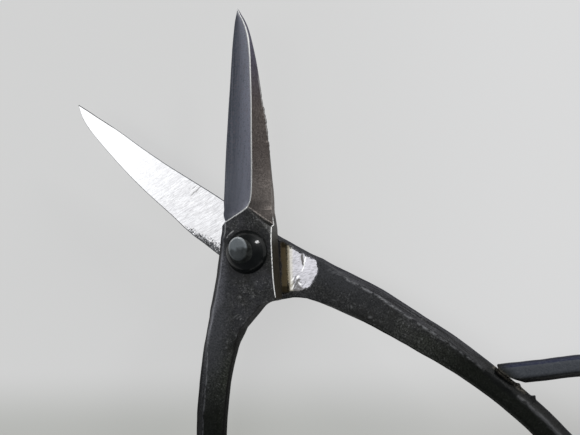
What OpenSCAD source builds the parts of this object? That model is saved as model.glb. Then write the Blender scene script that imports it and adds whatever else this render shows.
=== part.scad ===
// Forged trimming shears with long bow handles.
//
// Two mirror-image levers are drawn out of single forgings: a ground blade, a
// flat neck, a rounded shank and a teardrop bow whose free end lies back
// against its own shank. They turn on one rivet that passes through a domed
// washer on each side.
//
// Frame: the shears lie flat, Z is the pivot axis, +Y runs from the pivot along
// the upper (front) blade. The origin is on the pivot axis, on the
// flat end of the lower rivet head. Lengths in millimetres.

/* [Opening] */
// Angle between the two blades as they lie, in degrees
open_angle = 47.8; // [10:0.1:70]

/* [Blades] */
// Pivot axis to the tip of the front blade
front_blade_len = 61.8; // [58:0.1:66]
// Pivot axis to the tip of the rear blade
rear_blade_len = 63.6; // [59:0.1:67]
// Height of the ridge over the inner flat where it leaves the neck
ridge_h = 5.4; // [4.8:0.1:5.6]
// Steel left along the cutting edge
edge_t = 0.2; // [0.1:0.05:0.4]
// Relief of the blade's inner flat behind the neck's bearing face
flat_relief = 0.12; // [0.05:0.01:0.25]

/* [Neck] */
// Thickness of the neck
neck_t = 6.2; // [6:0.1:6.6]
// Width of the chamfer along the neck's outer edge
neck_chamfer = 1.6; // [0.8:0.1:2]
// Running gap between the bearing faces of the two necks
flat_gap = 0.1; // [0.06:0.02:0.3]

/* [Shanks and bows] */
// Scale of the shank's and bow's width
rod_width_scale = 1; // [0.85:0.05:1.05]
// Thickness of the shank below the neck
shank_t = 5.6; // [4.8:0.1:6.2]
// Thickness of the rod at the bow's free end
tail_t = 4.9; // [4:0.1:5.4]

/* [Rivet and washers] */
// Diameter of the rivet's body
rivet_d = 4.5; // [3.6:0.1:5]
// Radial play of the rear lever on the rivet
pivot_play = 0.05; // [0.02:0.01:0.1]
// Diameter of the domed front washer
front_washer_d = 10.8; // [9.6:0.1:11]
// Height of the domed front washer
front_washer_h = 3.2; // [2.4:0.1:3.6]
// Diameter of the peened rivet end on the front
peen_d = 5.6; // [5.2:0.1:6]
// Height of the peened rivet end over the front washer
peen_h = 1.1; // [0.6:0.1:1.4]
// Diameter of the rear washer
rear_washer_d = 10.2; // [9.6:0.1:11]
// Height of the rear washer
rear_washer_h = 1.5; // [1:0.1:2]
// Diameter of the rear rivet head
rear_head_d = 7; // [6.4:0.1:7.6]
// Height of the rear rivet head
rear_head_h = 1.2; // [0.8:0.1:1.6]

/* [Hidden] */

// Heights, from the resting face upwards
washer_gap = 0.05;
z_rear_out = rear_head_h + rear_washer_h + washer_gap;  // outer face of the rear neck
z_mid = z_rear_out + neck_t + flat_gap / 2;             // plane between the levers
z_front_in = z_mid + flat_gap / 2;                      // bearing face of the front neck
z_front_out = z_front_in + neck_t;                      // outer face of the front neck
z_front_top = z_front_out + front_washer_h;             // flat on top of the front washer

// Where the forging's own centre line lies against the pivot axis, x and y
front_set = [-1.1, 0];
rear_set = [0.74, 0.82];
// How far the peened rivet end is hammered over to one side, x and y
peen_set = [-0.7, 0.75];

// Blade stations, up to the tip: [along, edge x, ridge x, spine x, ridge height share, spine thickness]
front_stations = [
    [3.5, -5.2, 0.6, 6.4, 1.00, 2.6],
    [7.5, -5.5, 0.8, 6.8, 1.05, 2.6],
    [10.0, -6.5, 1.1, 6.95, 1.08, 2.5],
    [12.5, -6.4, 2.6, 7.05, 1.05, 1.9],
    [15.0, -6.15, 3.0, 7.0, 1.00, 1.7],
    [17.5, -5.9, 3.15, 6.85, 0.97, 1.5],
    [22.5, -5.4, 3.35, 6.65, 0.93, 1.1],
    [27.5, -4.85, 3.45, 6.45, 0.87, 0.8],
    [32.5, -4.25, 3.55, 6.1, 0.80, 0.6],
    [37.5, -3.65, 3.7, 5.45, 0.73, 0.5],
    [42.5, -3.0, 3.7, 4.95, 0.66, 0.5],
    [47.5, -2.4, 3.65, 4.4, 0.58, 0.5],
    [52.5, -1.75, 3.3, 3.6, 0.46, 0.5],
    [56.0, -1.2, 2.6, 2.85, 0.36, 0.5],
    [58.5, -0.75, 1.65, 1.95, 0.26, 0.4],
    [60.5, -0.2, 0.65, 0.9, 0.16, 0.35],
    [61.8, 0.14, 0.2, 0.26, 0.08, 0.3]];
rear_stations = [
    [3.5, -5.2, 0.6, 5.8, 1.00, 2.6],
    [7.5, -5.6, 0.8, 5.95, 1.05, 2.6],
    [10.0, -6.0, 0.9, 6.1, 1.08, 2.5],
    [12.5, -5.75, 2.4, 6.3, 1.05, 1.9],
    [15.0, -5.5, 2.75, 6.5, 1.00, 1.7],
    [17.5, -5.2, 2.9, 6.45, 0.97, 1.5],
    [22.5, -4.5, 3.1, 6.2, 0.93, 1.1],
    [27.5, -3.8, 3.2, 6.1, 0.87, 0.8],
    [32.5, -3.1, 3.3, 5.95, 0.80, 0.6],
    [37.5, -2.6, 3.4, 5.65, 0.73, 0.5],
    [42.5, -2.15, 3.45, 5.15, 0.66, 0.5],
    [47.5, -1.8, 3.4, 4.5, 0.58, 0.5],
    [52.5, -1.3, 3.1, 3.75, 0.46, 0.5],
    [56.0, -0.85, 2.5, 3.1, 0.36, 0.5],
    [58.5, -0.6, 1.7, 2.4, 0.26, 0.4],
    [60.5, -0.35, 0.8, 1.5, 0.16, 0.35],
    [62.75, -0.06, 0.0, 0.08, 0.08, 0.3]];

// Outlines of the necks: pointed shoulder towards the blade, heel corner at the lower right
front_neck = [
    [1.75, 10.9], [-0.4, 9.75], [-4.6, 7.45], [-5.6, 6.4], [-5.7, 5.4], [-6.1, 4.0], [-6.4, 2.0],
    [-6.95, -1.0], [-7.35, -3.0], [-7.7, -5.0], [-8.2, -7.0], [-8.7, -9.0], [-9.05, -10.5],
    [-9.3, -11.5], [-9.65, -12.5], [-8.2, -14.6], [-4.0, -16.7], [0.2, -16.7], [1.6, -15.2],
    [3.5, -13.25], [5.1, -12.45], [6.6, -12.2], [7.45, -11.95], [7.75, -11.6], [7.6, -9.6],
    [7.45, -7.0], [7.45, -3.0], [7.45, 2.0], [7.45, 4.0], [7.3, 7.0]];
rear_neck = [
    [1.75, 10.9], [-0.4, 9.75], [-4.6, 7.45], [-5.9, 6.4], [-5.95, 5.4], [-6.1, 4.0], [-6.4, 2.0],
    [-6.9, -1.0], [-7.2, -3.0], [-7.6, -5.0], [-7.95, -7.0], [-8.35, -9.2], [-8.65, -10.8],
    [-8.85, -11.7], [-9.15, -12.8], [-8.0, -14.8], [-4.0, -16.7], [0.4, -16.9], [1.6, -15.75],
    [3.3, -14.2], [4.85, -12.8], [5.85, -12.05], [6.4, -11.6], [6.95, -10.6], [7.1, -9.4],
    [7.25, -7.0], [7.15, -3.0], [7.05, -1.0], [6.6, 2.0], [6.15, 4.0], [6.0, 7.0]];

// Centre line of the shank: [x, y, drop from neck (0) to bow (1), width, flatness of the sides]
front_shank = [
    [-2.8, -6.0, 0.00, 8.4, 5.0],
    [-4.4, -12.5, 0.00, 9.4, 5.0],
    [-6.0, -17.0, 0.00, 9.1, 4.5],
    [-7.65, -21.5, 0.04, 8.5, 4.0],
    [-9.1, -26.5, 0.12, 7.85, 3.8],
    [-10.45, -32.0, 0.25, 7.6, 3.6],
    [-11.6, -38.0, 0.40, 7.5, 3.6],
    [-12.5, -44.0, 0.56, 7.3, 3.6],
    [-13.2, -51.0, 0.72, 7.1, 3.6],
    [-13.6, -58.0, 0.86, 6.7, 3.6]];
rear_shank = [
    [-2.6, -6.0, 0.00, 8.4, 5.0],
    [-3.9, -12.5, 0.00, 9.8, 5.0],
    [-5.1, -17.0, 0.00, 10.0, 4.5],
    [-6.3, -21.3, 0.04, 9.7, 4.0],
    [-7.7, -26.3, 0.12, 9.3, 3.8],
    [-9.1, -32.0, 0.25, 9.0, 3.6],
    [-10.25, -38.0, 0.40, 8.4, 3.6],
    [-11.25, -44.0, 0.56, 7.9, 3.6],
    [-12.45, -51.0, 0.72, 7.5, 3.6],
    [-13.25, -58.0, 0.86, 6.8, 3.6]];
// Centre line of the bow, the same on both levers, down the inner strand and
// round to the free end: [x, y, drop, width, flatness of the sides]
bow = [
    [-13.7, -65.0, 0.95, 6.3, 3.6],
    [-13.85, -72.0, 1.00, 6.2, 3.4],
    [-13.5, -78.5, 1.00, 6.3, 3.2],
    [-12.6, -85.5, 1.00, 6.4, 3.0],
    [-10.7, -95.0, 1.00, 6.3, 2.8],
    [-7.8, -105.0, 1.00, 6.2, 2.7],
    [-5.0, -114.0, 1.00, 6.0, 2.6],
    [-3.5, -122.0, 1.00, 5.8, 2.6],
    [-4.9, -130.5, 1.00, 5.6, 2.6],
    [-10.5, -138.0, 1.00, 5.5, 2.6],
    [-19.0, -141.0, 1.00, 5.4, 2.6],
    [-28.5, -138.0, 1.00, 5.3, 2.6],
    [-36.5, -129.5, 1.00, 5.3, 2.6],
    [-41.0, -118.0, 1.00, 5.2, 2.6],
    [-42.5, -107.0, 1.00, 5.2, 2.6],
    [-41.0, -96.0, 1.00, 5.1, 2.8],
    [-36.8, -86.0, 1.00, 5.0, 3.0],
    [-30.2, -77.5, 1.00, 4.8, 3.2],
    [-23.1, -70.9, 1.00, 4.8, 3.4],
    [-18.2, -66.45, 1.00, 4.8, 3.4]];
tail_bevel = 1.2;   // slant of the free end's face, so that it lies along the shank
ring_n = 16;        // points around the rod
span_n = 3;         // rings per span of the centre line

// Catmull-Rom point on the span from p[i] to p[i+1]
function cr(p, i, t) = let (n = len(p),
    a = p[max(i - 1, 0)], b = p[i], c = p[min(i + 1, n - 1)], d = p[min(i + 2, n - 1)])
    0.5 * (2 * b + (c - a) * t + (2 * a - 5 * b + 4 * c - d) * t * t + (3 * b - a - 3 * c + d) * t * t * t);
function smooth(p, k) = [for (i = [0 : len(p) - 2]) for (j = [0 : k - 1]) cr(p, i, j / k), p[len(p) - 1]];
function unit2(v) = let (m = norm([v[0], v[1]])) [v[0] / m, v[1] / m];
function spow(v, e) = sign(v) * pow(abs(v), e);

// Side walls and end caps of a tube of equal rings, laid end to end
function tube_faces(rings, n) = concat(
    [for (i = [0 : rings - 2]) for (j = [0 : n - 1]) each
        let (a = i * n + j, b = i * n + (j + 1) % n, c = a + n, d = b + n) [[a, b, d], [a, d, c]]],
    [[for (j = [n - 1 : -1 : 0]) j]],
    [[for (j = [0 : n - 1]) (rings - 1) * n + j]]);

// Blade: flat inner face, ground bevel to the edge, facet from the ridge to the spine
module blade(stations, length) {
    k = length / stations[len(stations) - 1][0];
    pts = [for (s = stations) let (y = s[0] * (s[0] > 12.5 ? k : 1 + (k - 1) * s[0] / 12.5), zr = s[4] * ridge_h) each [
        [s[1], y, flat_relief],
        [s[3], y, flat_relief],
        [s[3], y, flat_relief + min(s[5], zr - 0.05)],
        [s[2], y, flat_relief + zr],
        [s[1], y, flat_relief + min(edge_t, zr - 0.1)]]];
    polyhedron(pts, tube_faces(len(stations), 5), convexity = 4);
}

// Shank and bow: one rod of changing section swept along its centre line
module rod(shank) {
    path = smooth(concat(shank, bow), span_n);
    m = len(path);
    last = m - 1;
    ring = [for (i = [0 : last]) let (
            p = path[i], q = path[min(i + 1, last)], o = path[max(i - 1, 0)],
            t = unit2(q - o), nrm = [-t[1], t[0]],
            f = i / last,
            thick = i < 3 * span_n ? neck_t - 0.14
                : shank_t + (tail_t - shank_t) * pow(f, 1.5) + (neck_t - 0.14 - shank_t) * max(0, 1 - (i - 3 * span_n) / (3 * span_n)),
            zc = neck_t / 2 * (1 - p[2]) - flat_gap / 2 * p[2],
            w = p[3] * rod_width_scale / 2, e = 2 / p[4],
            slant = tail_bevel * max(0, 1 - (last - i) / (1.5 * span_n)))
        each [for (j = [0 : ring_n - 1]) let (
                an = -360 * (j + 0.5) / ring_n,
                u = w * spow(cos(an), e), v = thick / 2 * spow(sin(an), e))
            [p[0] + nrm[0] * u + t[0] * slant * u, p[1] + nrm[1] * u + t[1] * slant * u, zc + v]]];
    polyhedron(ring, tube_faces(m, ring_n), convexity = 8);
}

// Neck block with its pointed shoulder, heel corner and chamfered outer edge
module neck(outline) {
    difference() {
        linear_extrude(height = neck_t) polygon(outline);
        // chamfer along the outer edge, in the line of the lever's left side, a quarter taller than wide
        translate([-6.65, 0, neck_t - 1.25 * neck_chamfer]) rotate([0, 0, -11.5]) rotate([0, -51.3, 0])
            translate([-4, -30, 0]) cube([12, 60, 8]);
        // the inner edge falls away towards the spine
        polyhedron([
            [7.2, 2, neck_t], [12, 2, neck_t - 4.5], [12, 14, neck_t - 9.5], [2, 14, neck_t],
            [7.2, 2, neck_t + 6], [12, 2, neck_t + 6], [12, 14, neck_t + 6], [2, 14, neck_t + 6]],
            [[0, 1, 2], [0, 2, 3], [7, 6, 5, 4], [4, 5, 1, 0], [5, 6, 2, 1], [6, 7, 3, 2], [7, 4, 0, 3]]);
    }
}

// One forging, bearing face at z = 0, tip on +Y, cutting edge on -X, bored on the origin
module lever(outline, stations, length, shank, set, bore_r) {
    difference() {
        translate([set[0], set[1], 0])
            union() {
                neck(outline);
                blade(stations, length - set[1]);
                rod(shank);
            }
        translate([0, 0, -2]) cylinder(h = neck_t + 4, r = bore_r, $fn = 48);
    }
}

module front_lever() {
    color([0.16, 0.17, 0.17])
        translate([0, 0, z_front_in])
            lever(front_neck, front_stations, front_blade_len, front_shank, front_set, rivet_d / 2 + 0.02);
}

module rear_lever() {
    color([0.30, 0.31, 0.31])
        translate([0, 0, z_mid - flat_gap / 2])
            rotate([0, 0, open_angle]) mirror([0, 0, 1]) mirror([1, 0, 0])
                lever(rear_neck, rear_stations, rear_blade_len, rear_shank, rear_set, rivet_d / 2 + pivot_play);
}

// Rivet: factory head below, body through both necks, peened end on top
module pivot_rivet() {
    color([0.34, 0.36, 0.38])
        union() {
            cylinder(h = rear_head_h, d1 = rear_head_d - 1.2, d2 = rear_head_d, $fn = 64);
            translate([0, 0, rear_head_h / 2])
                cylinder(h = z_front_top - rear_head_h / 2 + peen_h / 2, d = rivet_d, $fn = 64);
            translate([peen_set[0] * 0.4, peen_set[1] * 0.4, z_front_top]) cylinder(h = peen_h * 0.5, d = peen_d, $fn = 64);
            translate([peen_set[0], peen_set[1], z_front_top + peen_h * 0.3])
                cylinder(h = peen_h * 0.7, d1 = peen_d - 0.3, d2 = peen_d - 1.5, $fn = 64);
        }
}

// Cap of a sphere between its base circle and the flat on top, bored for the rivet
module domed_washer(d, h, top_d, bore_d) {
    drop = ((d * d - top_d * top_d) / 4 - h * h) / (2 * h);
    rad = sqrt(d * d / 4 + drop * drop);
    difference() {
        intersection() {
            translate([0, 0, -drop]) sphere(r = rad, $fn = 64);
            translate([-d, -d, 0]) cube([2 * d, 2 * d, h]);
        }
        translate([0, 0, -1]) cylinder(h = h + 2, d = bore_d, $fn = 64);
    }
}

module front_washer() {
    color([0.10, 0.11, 0.13])
        translate([0, 0, z_front_out])
            domed_washer(front_washer_d, front_washer_h, peen_d + 0.2, rivet_d + 0.04);
}

module rear_washer() {
    color([0.11, 0.12, 0.14])
        translate([0, 0, rear_head_h + rear_washer_h]) mirror([0, 0, 1])
            domed_washer(rear_washer_d, rear_washer_h, rear_head_d + 0.6, rivet_d + 0.04);
}

front_lever();
rear_lever();
pivot_rivet();
front_washer();
rear_washer();
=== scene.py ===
"""Forged trimming shears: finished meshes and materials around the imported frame."""
import bpy, math
import numpy as np
from mathutils import Matrix, Vector, noise


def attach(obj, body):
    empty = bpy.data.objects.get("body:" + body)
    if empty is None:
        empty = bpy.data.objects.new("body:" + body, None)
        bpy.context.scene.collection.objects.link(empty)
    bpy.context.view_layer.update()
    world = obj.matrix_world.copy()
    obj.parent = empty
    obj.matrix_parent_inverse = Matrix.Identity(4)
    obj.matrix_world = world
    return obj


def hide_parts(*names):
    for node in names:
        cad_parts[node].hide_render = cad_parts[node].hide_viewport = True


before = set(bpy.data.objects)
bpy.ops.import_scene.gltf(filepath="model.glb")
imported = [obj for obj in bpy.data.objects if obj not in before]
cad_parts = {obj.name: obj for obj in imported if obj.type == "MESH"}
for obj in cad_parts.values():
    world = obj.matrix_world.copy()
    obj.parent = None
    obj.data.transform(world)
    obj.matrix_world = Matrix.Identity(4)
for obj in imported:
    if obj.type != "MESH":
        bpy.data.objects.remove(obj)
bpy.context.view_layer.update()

# ---------------------------------------------------------------- sizes, mm
NECK_T = 6.2
FLAT_GAP = 0.1
RELIEF = 0.12
RIDGE_H = 5.4
OPEN = math.radians(47.8)
Z_REAR_OUT = 1.2 + 1.5 + 0.05
Z_MID = Z_REAR_OUT + NECK_T + FLAT_GAP / 2
Z_FRONT_IN = Z_MID + FLAT_GAP / 2
Z_FRONT_OUT = Z_FRONT_IN + NECK_T
WASHER_H = 3.2
MM = 0.001
FRONT_SHIFT = (-1.1, 0.0)        # pivot hole against the forging's own centre line
REAR_SHIFT = (0.74, 0.82)

# ------------------------------------------------------------------- camera
F_PX, W_PX, H_PX = 900.0, 580.0, 435.0
MM_PX = 0.25
PIVOT_PX = (250.8, 252.3)
SIDE, BELOW, TURN = math.radians(17.0), math.radians(2.0), math.radians(-3.44)


def make_camera():
    ax, ay = -SIDE, -BELOW
    ry = Matrix(((math.cos(ax), 0, -math.sin(ax)), (0, 1, 0), (math.sin(ax), 0, math.cos(ax))))
    rx = Matrix(((1, 0, 0), (0, math.cos(ay), -math.sin(ay)), (0, math.sin(ay), math.cos(ay))))
    rot = rx @ ry @ Matrix(((1, 0, 0), (0, 1, 0), (0, 0, -1)))
    t = Vector((PIVOT_PX[0] - W_PX / 2, PIVOT_PX[1] - H_PX / 2, F_PX))
    eye = -(rot.transposed() @ t) * MM_PX

    def to_part(v):
        x, y, z = v[0], -v[1], v[2]
        c, s = math.cos(TURN), math.sin(TURN)
        return Vector((x * c - y * s, x * s + y * c, z))

    right, down, fwd = (to_part(rot[i]) for i in range(3))
    m = Matrix((right, -down, -fwd)).transposed().to_4x4()
    m.translation = (to_part(eye) + Vector((FRONT_SHIFT[0], FRONT_SHIFT[1], Z_MID))) * MM
    data = bpy.data.cameras.new("camera")
    cam = bpy.data.objects.new("camera", data)
    bpy.context.scene.collection.objects.link(cam)
    cam.matrix_world = m
    data.sensor_fit = 'HORIZONTAL'
    data.sensor_width = 36.0
    data.lens = 36.0 * F_PX / W_PX
    data.clip_start, data.clip_end = 0.01, 30.0
    bpy.context.scene.camera = cam
    return cam


cam = make_camera()

# ------------------------------------------------------------ lever geometry
# Blade stations: along, edge x, ridge x, spine x, share of the ridge height, spine thickness
FRONT_STATIONS = np.array([
    [10.0, -6.6, 1.1, 6.93, 1.1, 2.5], [11.2, -6.38, 1.95, 6.98, 1.08, 2.1], [12.5, -6.38, 2.6, 7.03, 1.05, 1.9],
    [15.0, -6.13, 2.98, 6.98, 1.0, 1.7],
    [17.5, -5.88, 3.13, 6.83, 0.97, 1.5], [22.5, -5.38, 3.34, 6.63, 0.93, 1.1],
    [27.5, -4.83, 3.45, 6.43, 0.87, 0.8], [32.5, -4.23, 3.57, 6.08, 0.8, 0.6],
    [37.5, -3.63, 3.68, 5.43, 0.73, 0.5], [42.5, -2.98, 3.7, 4.93, 0.66, 0.5],
    [47.5, -2.38, 3.66, 4.38, 0.58, 0.5], [52.5, -1.73, 3.3, 3.58, 0.46, 0.5],
    [56.0, -1.18, 2.6, 2.83, 0.36, 0.5], [58.5, -0.73, 1.65, 1.93, 0.26, 0.4],
    [60.5, -0.18, 0.65, 0.88, 0.16, 0.35], [61.8, 0.16, 0.2, 0.24, 0.08, 0.3]])
REAR_STATIONS = np.array([
    [10.0, -6.0, 0.9, 6.12, 1.1, 2.5], [11.2, -5.9, 1.75, 6.18, 1.08, 2.1], [12.5, -5.75, 2.4, 6.28, 1.05, 1.9],
    [15.0, -5.5, 2.75, 6.48, 1.0, 1.7],
    [17.5, -5.2, 2.9, 6.45, 0.97, 1.5], [22.5, -4.5, 3.1, 6.2, 0.93, 1.1],
    [27.5, -3.8, 3.2, 6.1, 0.87, 0.8], [32.5, -3.1, 3.3, 5.95, 0.8, 0.6],
    [37.5, -2.6, 3.4, 5.65, 0.73, 0.5], [42.5, -2.15, 3.45, 5.15, 0.66, 0.5],
    [47.5, -1.8, 3.4, 4.5, 0.58, 0.5], [52.5, -1.3, 3.1, 3.75, 0.46, 0.5],
    [56.0, -0.85, 2.5, 3.1, 0.36, 0.5], [58.5, -0.6, 1.7, 2.4, 0.26, 0.4],
    [60.5, -0.35, 0.8, 1.5, 0.16, 0.35], [62.75, -0.06, 0.0, 0.08, 0.08, 0.3]])
# Neck edges: along, outer x, inner x
FRONT_NECK = np.array([
    [8.6, -6.35, 7.13], [7.0, -5.6, 7.28], [5.6, -5.7, 7.42], [4.0, -6.12, 7.46], [2.0, -6.42, 7.46],
    [-1.0, -6.95, 7.44], [-3.0, -7.35, 7.43], [-5.0, -7.7, 7.44], [-7.0, -8.2, 7.46]])
REAR_NECK = np.array([
    [8.6, -6.0, 6.1], [7.0, -5.9, 6.0], [5.6, -5.95, 5.97], [4.0, -6.1, 6.15], [2.0, -6.4, 6.6],
    [-1.0, -6.9, 7.05], [-3.0, -7.2, 7.15], [-5.0, -7.6, 7.2], [-7.0, -7.95, 7.25]])
# Heel: outer point and inner point of each section
FRONT_HEEL = np.array([
    [-8.7, -9.0, 7.6, -9.6], [-9.05, -10.5, 7.72, -11.1], [-9.2, -11.1, 7.75, -11.6],
    [-9.32, -11.5, 7.45, -11.95], [-9.45, -11.9, 6.6, -12.2], [-9.65, -12.5, 5.1, -12.45],
    [-9.85, -13.2, 3.5, -13.25], [-10.05, -14.0, 1.6, -15.2]])
REAR_HEEL = np.array([
    [-8.35, -9.2, 7.1, -9.4], [-8.65, -10.8, 6.95, -10.6], [-8.75, -11.3, 6.75, -11.15],
    [-8.85, -11.7, 6.4, -11.6], [-8.95, -12.1, 5.85, -12.05], [-9.15, -12.8, 4.85, -12.8],
    [-9.4, -13.6, 3.3, -14.2], [-9.7, -14.6, 1.6, -15.75]])
# Shank centre line: x, y, drop, width, flatness of the sides
FRONT_SHANK = np.array([
    [-6.0, -17.0, 0.00, 9.1, 4.5], [-7.65, -21.5, 0.04, 8.5, 4.0], [-9.1, -26.5, 0.12, 7.85, 3.8],
    [-10.45, -32.0, 0.25, 7.6, 3.6], [-11.6, -38.0, 0.40, 7.5, 3.6], [-12.5, -44.0, 0.56, 7.3, 3.6],
    [-13.2, -51.0, 0.72, 7.1, 3.6], [-13.6, -58.0, 0.86, 6.7, 3.6]])
REAR_SHANK = np.array([
    [-5.1, -17.0, 0.00, 10.0, 4.5], [-6.3, -21.3, 0.04, 9.7, 4.0], [-7.7, -26.3, 0.12, 9.3, 3.8],
    [-9.1, -32.0, 0.25, 9.0, 3.6], [-10.25, -38.0, 0.40, 8.4, 3.6], [-11.25, -44.0, 0.56, 7.9, 3.6],
    [-12.45, -51.0, 0.72, 7.5, 3.6], [-13.25, -58.0, 0.86, 6.8, 3.6]])
BOW = np.array([
    [-13.7, -65.0, 0.95, 6.3, 3.6], [-13.85, -72.0, 1.00, 6.2, 3.4], [-13.5, -78.5, 1.00, 6.3, 3.2],
    [-12.6, -85.5, 1.00, 6.4, 3.0], [-10.7, -95.0, 1.00, 6.3, 2.8], [-7.8, -105.0, 1.00, 6.2, 2.7],
    [-5.0, -114.0, 1.00, 6.0, 2.6], [-3.5, -122.0, 1.00, 5.8, 2.6], [-4.9, -130.5, 1.00, 5.6, 2.6],
    [-10.5, -138.0, 1.00, 5.5, 2.6], [-19.0, -141.0, 1.00, 5.4, 2.6], [-28.5, -138.0, 1.00, 5.3, 2.6],
    [-36.5, -129.5, 1.00, 5.3, 2.6], [-41.0, -118.0, 1.00, 5.2, 2.6], [-42.5, -107.0, 1.00, 5.2, 2.6],
    [-41.0, -96.0, 1.00, 5.1, 2.8], [-36.8, -86.0, 1.00, 5.0, 3.0], [-30.1, -77.6, 1.00, 4.75, 3.2],
    [-23.0, -71.05, 1.00, 4.7, 3.4], [-18.1, -66.55, 1.00, 4.7, 3.4]])
TAIL_BEVEL = 1.22
HOLLOW = 0.20                    # inner flats are ground slightly hollow
N_LEFT, N_RIGHT, N_WALL, N_BOT = 44, 28, 8, 24


def smoothstep(a, b, x):
    t = np.clip((x - a) / (b - a), 0.0, 1.0)
    return t * t * (3 - 2 * t)


def smin(a, b, k):
    h = np.clip(0.5 + 0.5 * (b - a) / k, 0, 1)
    return b + (a - b) * h - k * h * (1 - h)


def keyed(keys, vals, x):
    """Smooth curve through keyed values (keys ascending)."""
    keys = np.asarray(keys, float)
    vals = np.asarray(vals, float)
    d = np.diff(vals) / np.diff(keys)
    m = np.zeros_like(vals)
    m[1:-1] = np.where(d[:-1] * d[1:] > 0, 2 * d[:-1] * d[1:] / np.where(d[:-1] + d[1:] == 0, 1, d[:-1] + d[1:]), 0)
    m[0], m[-1] = d[0], d[-1]
    i = np.clip(np.searchsorted(keys, x) - 1, 0, len(keys) - 2)
    h = keys[i + 1] - keys[i]
    t = np.clip((x - keys[i]) / h, 0, 1)
    return ((1 + 2 * t) * (1 - t) ** 2 * vals[i] + t * (1 - t) ** 2 * h * m[i]
            + t * t * (3 - 2 * t) * vals[i + 1] + t * t * (t - 1) * h * m[i + 1])


def catmull(rows, step, lead=None):
    """Dense rows of a Catmull-Rom curve; each span is cut to about the given step."""
    out = []
    n = len(rows)
    for i in range(n - 1):
        a = rows[i - 1] if i else (lead if lead is not None else rows[0])
        b, c = rows[i], rows[i + 1]
        d = rows[min(i + 2, n - 1)]
        fine = 0.35 if step > 0.5 and -79 < 0.5 * (b[1] + c[1]) < -62 and b[0] > -15 else 1.0
        k = max(1, int(round(np.hypot(*(c - b)[:2]) / (step * fine))))
        for t in np.arange(k) / k:
            out.append(0.5 * (2 * b + (c - a) * t + (2 * a - 5 * b + 4 * c - d) * t * t
                              + (3 * b - a - 3 * c + d) * t ** 3))
    out.append(rows[-1])
    return np.array(out)


def spread(n):
    t = np.arange(n + 1) / n
    return 0.55 * 0.5 * (1 - np.cos(math.pi * t)) + 0.45 * t


# Where the blade's ground faces stop against the neck, x then y
LEFT_STOP = np.array([[-9.0, 5.6], [-4.6, 8.05], [-2.6, 9.15], [-0.4, 10.33], [0.8, 10.95], [1.65, 11.5], [2.1, 12.2], [2.5, 13.0]])
RIGHT_STOP = np.array([[0.0, 12.4], [1.8, 10.75], [3.9, 8.75], [5.9, 7.05], [6.9, 6.35], [9.0, 4.7]])
# Height of the inner edge of the outer face, falling from the neck to the spine
SHOULDER_Z = np.array([[-2.0, 6.2], [1.5, 6.2], [3.5, 5.85], [5.5, 5.1], [7.5, 4.0], [9.0, 3.0], [11.2, 2.1], [13.0, 1.9]])


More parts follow.
